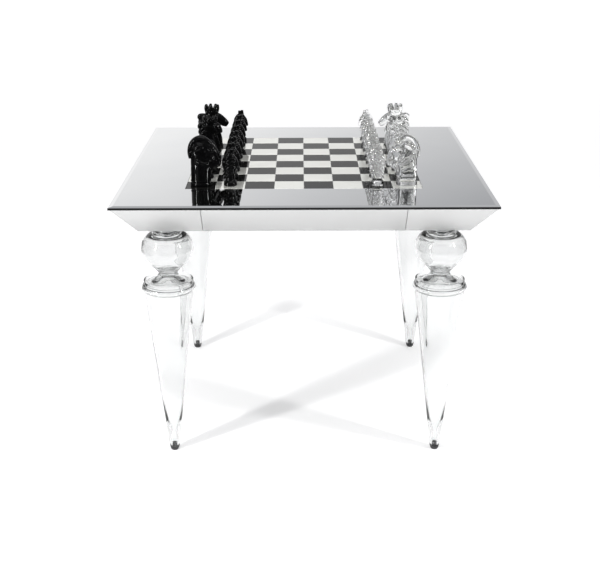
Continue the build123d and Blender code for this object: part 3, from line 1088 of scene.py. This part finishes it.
# %% Sculpt the corner piece
def corner_piece():
    crest = [
        (-28, 0, 76), (-29, 0, 94), (-24, 0, 113), (-13, 0, 126), (2, 0, 131), (17, 0, 124), (29, 0, 113),
    ]
    face = [(6, 0, 108), (25, 0, 104), (37, 0, 92), (44, 0, 78), (47, 0, 66)]
    waxes = [
        foot(29, 22, 13, 27, 20, 50),
        roll([(0, 0, 12), (1, 0, 34), (2, 0, 62), (0, 0, 92)], [(27, 20), (27, 19.5), (29, 20), (26, 18)]),
        roll(crest, [(4, 9), (6, 13), (7.5, 13), (8, 12), (8, 12), (8, 11), (7, 9)]),
        lump((-2, 0, 98), (27, 19, 27)),
        roll(face, [(19, 15), (15, 15), (12.5, 12.5), (11, 10.5), (8.5, 10)]),
        lump((22, 0, 82), (21, 17.5, 22), 25),
        lump((33, 0, 62), (18, 13, 17), 20),
        roll([(14, 0, 70), (27, 0, 54), (35, 0, 45)], [(16, 14), (12, 11), (7, 8)]),
        lump((48, 0, 65), (9, 10.5, 12), -10),
    ]
    for side in (1, -1):
        ear = [(8, 15 * side, 112), (-4, 18 * side, 108), (-17, 18 * side, 98)]
        lid = [(20, 13 * side, 104), (28, 15 * side, 103), (35, 13 * side, 96)]
        cheek = [(-14, 19 * side, 84), (-2, 21 * side, 70), (14, 19.5 * side, 64), (28, 16 * side, 70)]
        waxes += [
            lump((28, 14 * side, 98), (4.5, 3.2, 3.4), 35),
            roll(lid, [(2, 2), (2.4, 2.4), (1.6, 1.6)], 12),
            lump((51, 8 * side, 71), (2.6, 2.8, 3.6), 20),
            roll(ear, [(5, 3), (6, 3.5), (1.2, 1.2)], 12),
            roll(cheek, [(1.4, 1.2), (2.6, 1.8), (2.6, 2), (1.2, 1)], 12),
        ]
    return fused("corner_piece", waxes)


# %% [markdown]
# The crowned pieces are slender: the neck rises straight, the head is carried level and
# long, with a wedge of a muzzle. Fat curls of mane roll down the back of the neck, and a
# ring of spikes stands on the poll. The king is the tallest, and the queen is the same
# head on a smaller scale, so one function makes both.

# %% Sculpt the crowned pieces
def crowned_piece(name, poll, reach, nose, back, spike):
    """poll is the crown's base, reach and nose the muzzle's tip, back the rearmost curl."""
    head = poll - 16
    chest = 0.32 * poll
    waxes = [
        foot(29, 22, 13, 25, 18, 50),
        roll([(0, 0, 12), (6, 0, chest), (3, 0, 0.55 * poll), (1, 0, head)],
             [(25, 18), (27, 18), (25, 16), (20, 14)]),
        roll([(30, 0, 0.22 * poll), (31, 0, 0.42 * poll), (23, 0, 0.68 * poll)], [(6, 10), (7, 9), (6, 8)]),
        roll([(-back + 15, 0, 0.42 * poll), (-back + 14, 0, 0.65 * poll), (-back + 17, 0, head + 4)],
             [(8, 10), (11, 11), (9, 9)]),
        lump((6, 0, head - 2), (22, 15, 20)),
        roll([(6, 0, head + 1), (24, 0, head), (0.72 * reach, 0, nose + 6), (reach - 7, 0, nose - 1)],
             [(16, 13), (15.5, 12), (12.5, 9.5), (7.5, 8)]),
        lump((20, 0, head - 10), (15, 13.5, 14)),
    ]
    for side in (1, -1):
        lid = [(17, 9 * side, head + 9), (25, 12 * side, head + 7), (31, 10 * side, head)]
        waxes += [
            lump((24, 11 * side, head + 1), (4.5, 3, 3.4), 25),
            roll(lid, [(2, 2), (2.4, 2.2), (1.4, 1.4)], 12),
            lump((reach - 7, 6 * side, nose + 3), (2.6, 2.4, 3), 20),
        ]
    curls = int((head - chest) / 15)
    for k in range(curls + 1):
        z = head - 15 * k
        out = back + 1.5 * math.cos(1.9 * k) - 0.1 * max(0, head - 34 - z)
        curl = [(-8, 0, z + 8), (-out + 8, 0, z + 7), (-out + 5, 0, z), (-out + 9, 0, z - 7)]
        waxes.append(roll(curl, [(5, 11), (6, 10), (5.5, 8.5), (3, 5)], 14))
        for side in (1, -1):
            lock = [
                (2, 12 * side, z + 3),
                (-8, 15 * side, z),
                (-17, 13.5 * side, z - 8),
                (-15, 11 * side, z - 14),
            ]
            waxes.append(roll(lock, [(3.4, 3), (4, 3.4), (4, 3.2), (2, 2)], 12))
    band = [(7, 0, poll - 14), (7, 0, poll - 4), (8, 0, poll + 0.3 * spike)]
    waxes.append(roll(band, [(16, 13), (18, 15), (20, 16.5)]))
    for a in np.linspace(0, 2 * math.pi, 7, endpoint=False):
        root, middle, tip = (
            (8 + out * math.cos(a), 0.85 * out * math.sin(a), poll + rise * spike)
            for out, rise in ((15, 0.1), (17, 0.55), (18.5, 1.0))
        )
        waxes.append(roll([root, middle, tip], [(6, 6), (6.2, 6.2), (3.6, 3.6)], 14))
    return fused(name, waxes)


# %% [markdown]
# A pawn is a small head on a waisted round foot. Its mane is a plait that runs down both
# sides in slanting rolls, the most marked thing about it, with two stout ears on top.

# %% Sculpt the pawn
def pawn_piece():
    waxes = [
        foot(18.5, 18.5, 13, 12, 11, 34),
        roll([(0, 0, 20), (-1, 0, 34), (-1, 0, 50), (-1, 0, 66)], [(12, 11), (15, 12), (19, 13), (17, 12.5)]),
        roll([(-2, 0, 60), (0, 0, 76), (3, 0, 87)], [(17, 12.5), (15, 11.5), (10, 8)]),
        roll([(2, 0, 80), (12, 0, 70), (18, 0, 56), (20, 0, 49)], [(9, 9), (8, 8.5), (6, 7), (4.5, 6)]),
        lump((9, 0, 62), (10, 10, 11)),
        roll([(-4, 0, 88), (-13, 0, 78), (-18, 0, 63), (-14, 0, 46), (-9, 0, 32)],
             [(3, 5), (4, 6), (4.5, 6.5), (4, 6), (2, 4)]),
    ]
    for side in (1, -1):
        waxes += [
            roll([(1, 2 * side, 82), (1 + 3.5 * side, 4 * side, 91), (1 + 4 * side, 4 * side, 99)],
                 [(4.5, 4.5), (5, 4.5), (4, 3.6)], 12),
            lump((13, 7.5 * side, 70), (2.6, 2, 2.2), 30),
            lump((20, 4.5 * side, 53), (1.8, 1.8, 2), 20),
        ]
        for k in range(6):
            z = 88 - 10 * k
            out = 3 * math.sin(math.pi * k / 6)
            strand = [
                (10 + out, 7.5 * side, z),
                (1, (11.5 + out / 3) * side, z - 3),
                (-9, (11 + out / 3) * side, z - 11),
                (-16 - out, 5.5 * side, z - 18),
            ]
            waxes.append(roll(strand, [(2.4, 2.4), (3.2, 3.2), (3.2, 3.2), (2.2, 2.2)], 12))
    return fused("pawn", waxes, voxel=0.8, rub=2, faces=13000)


# %% [markdown]
# Knights and bishops stand between a pawn and a king in height. Both are one plain head,
# made by one function at two sizes: a short neck, two upright ears, and a combed mane of
# locks from the tree above, which are fused into the wax with the rest.

# %% Sculpt the plain heads
def plain_head(name, poll, reach, nose, back):
    """The two middle ranks: a smaller head with a combed mane and two ears."""
    head = poll - 12
    waxes = [
        foot(29, 22, 13, 22, 17, 40),
        roll([(0, 0, 12), (0, 0, 0.4 * poll), (-2, 0, 0.7 * poll), (-2, 0, head)],
             [(23, 17), (21, 16.5), (19, 15), (13, 12)]),
        lump((4, 0, head - 3), (16, 13, 15)),
        roll([(4, 0, head), (16, 0, head - 4), (0.75 * reach, 0, nose + 10), (reach - 7, 0, nose + 1)],
             [(12, 11.5), (11, 11), (8, 9), (6.5, 8)]),
        lump((13, 0, head - 15), (12, 12.5, 13)),
    ]
    mane = [
        (-3, 0, poll - 6),
        (-back + 7, 0, 0.82 * poll),
        (-back + 4, 0, 0.6 * poll),
        (-back + 6, 0, 0.36 * poll),
    ]
    combed = locks(mane, 13, 17, 4.6, lean=0.5)
    for side in (1, -1):
        ear = [(-3, 6 * side, poll - 10), (-3, 7 * side, poll), (-1, 7 * side, poll + 7)]
        waxes += [
            roll(ear, [(4, 3.4), (3.6, 2.8), (1.2, 1.2)], 12),
            lump((17, 9.5 * side, head - 1), (3.8, 2.6, 3), 30),
            lump((reach - 6, 5.5 * side, nose + 4), (2.2, 2.2, 2.6), 20),
        ]
    return fused(name, waxes, [combed])


sculptures = {
    "rook": corner_piece(),
    "knight": plain_head("knight_head", 104, 40, 76, 28),
    "bishop": plain_head("bishop_head", 96, 33, 60, 28),
    "queen": crowned_piece("queen_head", 128, 42, 98, 26, 15),
    "king": crowned_piece("king_head", 139, 62, 103, 33, 24),
    "pawn": pawn_piece(),
}

# %% [markdown]
# Now the board is set. A piece's rank is in its node's name, its row is where its CAD box
# is, and its colour says which way it looks. The place goes into the mesh, so each copy is
# its own mesh at the origin. The second rook of each colour lies on its side in the drawer.

# %% Set the board
def standing(node_name, colour):
    """Where a piece stands: the middle of its square, looking across the board."""
    low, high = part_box(node_name)
    column = 0 if colour == "black" else squares - 1
    if "pawn" in node_name:
        column += 1 if colour == "black" else -1
    x = (column - (squares - 1) / 2) * square
    turn = Matrix.Rotation(0.0 if colour == "black" else math.pi, 4, "Z")
    return Matrix.Translation((x, (low.y + high.y) / 2, low.z)) @ turn


def lying(node_name):
    """Where the second rook lies: foot to the left, looking at the drawer's back."""
    low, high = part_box(node_name)
    stand_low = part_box("black_rook_front")[0]
    behind = (0.5 - squares / 2) * square - stand_low.x
    axes = Matrix(((0, 0, 1, 0), (1, 0, 0, 0), (0, 1, 0, 0), (0, 0, 0, 1)))
    return Matrix.Translation((low.x, low.y + behind, (low.z + high.z) / 2)) @ axes


piece_finish = {"black": (black_glass, "black_piece_glass"), "clear": (piece_glass, "clear_piece_glass")}
for body in frame["bodies"]:
    colour = body.split("_")[0]
    if colour not in piece_finish:
        continue
    rank = body.split("_")[1]
    material, slot = piece_finish[colour]
    place = lying(body) if body.endswith("rook_back") else standing(body, colour)
    cast = sculptures[rank].copy()
    cast.transform(place)
    cast.materials.clear()
    cast.materials.append(material)
    show("horse_" + body, cast, body, [body])
